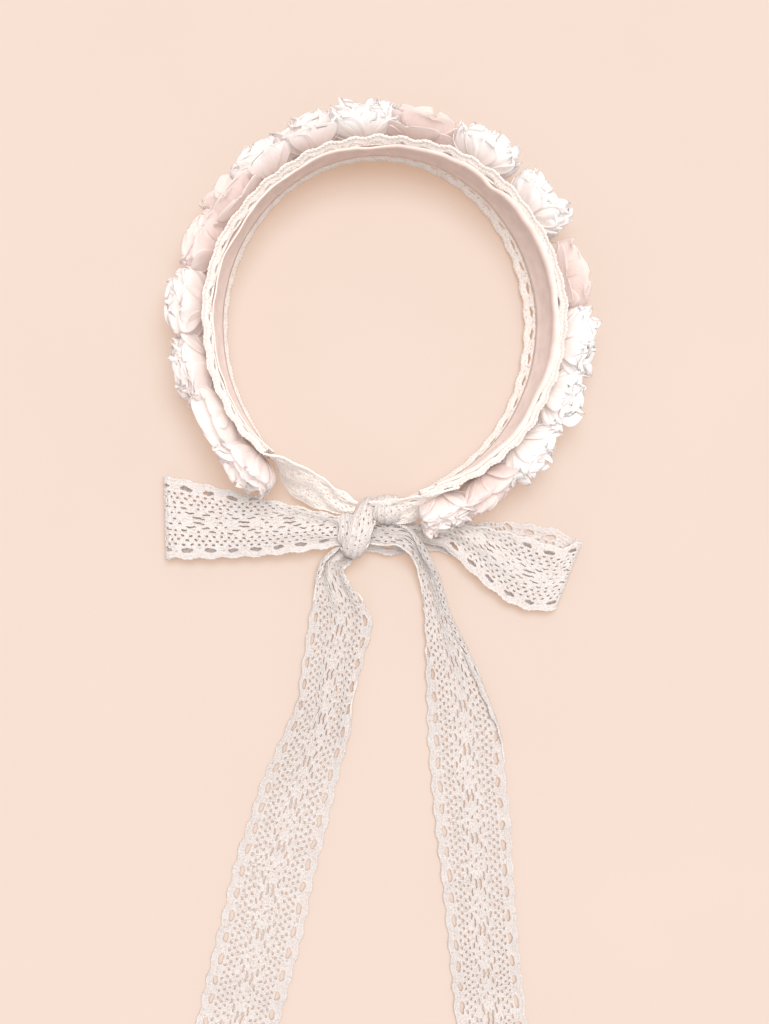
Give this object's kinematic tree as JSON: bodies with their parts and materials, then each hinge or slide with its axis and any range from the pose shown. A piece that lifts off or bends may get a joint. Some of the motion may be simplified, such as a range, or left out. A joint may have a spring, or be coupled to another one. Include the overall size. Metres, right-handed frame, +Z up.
{
  "type": "flower crown",
  "caption": "Lace ribbon hair crown standing as a ring, lined inside, with a row of layered chiffon flowers round the outside, tied in a bow with two long loose tails.",
  "frame": {"origin": "centre of the ring, on the plane that the ring's lower edge, the bow and the tails rest on, where the head passes through", "axes": "+Z up through the ring, the way the crown is lifted off; the bow is at -Y and its tails run on towards -Y; +X is to the right seen from above with the bow nearest"},
  "size_m": [0.2088, 0.5304, 0.04],
  "materials": {
    "cotton_lace": "off-white cotton bobbin lace, matt, with open eyelets",
    "lining_ribbon": "dusty blush ribbed ribbon, soft matt",
    "net_tape": "fine off-white net tape",
    "white_chiffon": "sheer white chiffon, heat-curled edges",
    "blush_chiffon": "beige-pink chiffon, heat-curled edges"
  },
  "bodies": {
    "crown": {"lace_band": "cotton_lace", "lining_ribbon": "lining_ribbon", "flower_tape": "net_tape", "left_lead": "cotton_lace", "right_lead": "cotton_lace", "bow_knot": "cotton_lace", "left_tail_root": "cotton_lace", "right_tail_root": "cotton_lace", "flower_01_petals": "white_chiffon", "flower_01_heart": "white_chiffon", "flower_02_petals": "blush_chiffon", "flower_02_heart": "blush_chiffon", "flower_03_petals": "white_chiffon", "flower_03_heart": "white_chiffon", "flower_04_petals": "white_chiffon", "flower_04_heart": "white_chiffon", "flower_05_petals": "white_chiffon", "flower_05_heart": "white_chiffon", "flower_06_petals": "blush_chiffon", "flower_06_heart": "blush_chiffon", "flower_07_petals": "white_chiffon", "flower_07_heart": "white_chiffon", "flower_08_petals": "white_chiffon", "flower_08_heart": "white_chiffon", "flower_09_petals": "blush_chiffon", "flower_09_heart": "blush_chiffon", "flower_10_petals": "white_chiffon", "flower_10_heart": "white_chiffon", "flower_11_petals": "white_chiffon", "flower_11_heart": "white_chiffon", "flower_12_petals": "white_chiffon", "flower_12_heart": "white_chiffon", "flower_13_petals": "blush_chiffon", "flower_13_heart": "blush_chiffon", "flower_14_petals": "blush_chiffon", "flower_14_heart": "blush_chiffon", "flower_15_petals": "white_chiffon", "flower_15_heart": "white_chiffon", "flower_16_petals": "white_chiffon", "flower_16_heart": "white_chiffon", "flower_17_petals": "white_chiffon", "flower_17_heart": "white_chiffon", "flower_18_petals": "white_chiffon", "flower_18_heart": "white_chiffon"},
    "left_loop": {"left_loop": "cotton_lace"},
    "right_loop": {"right_loop": "cotton_lace"},
    "left_tail": {"left_tail": "cotton_lace"},
    "right_tail": {"right_tail": "cotton_lace"}
  },
  "joints": [
    {"name": "left_loop_droop", "type": "hinge", "parent": "crown", "child": "left_loop", "pos_m": [-0.0209, -0.1004, 0.0068], "axis": [0, 1, 0], "range_deg": [-45, 0]},
    {"name": "right_loop_droop", "type": "hinge", "parent": "crown", "child": "right_loop", "pos_m": [-0.0037, -0.1022, 0.0068], "axis": [0, 1, 0], "range_deg": [0, 45]},
    {"name": "left_tail_swing", "type": "hinge", "parent": "crown", "child": "left_tail", "pos_m": [-0.0262, -0.1182, 0.0026], "axis": [1, 0, 0], "range_deg": [-80, 90]},
    {"name": "right_tail_swing", "type": "hinge", "parent": "crown", "child": "right_tail", "pos_m": [0.0272, -0.145, 0.0026], "axis": [1, 0, 0], "range_deg": [-80, 90]}
  ]
}
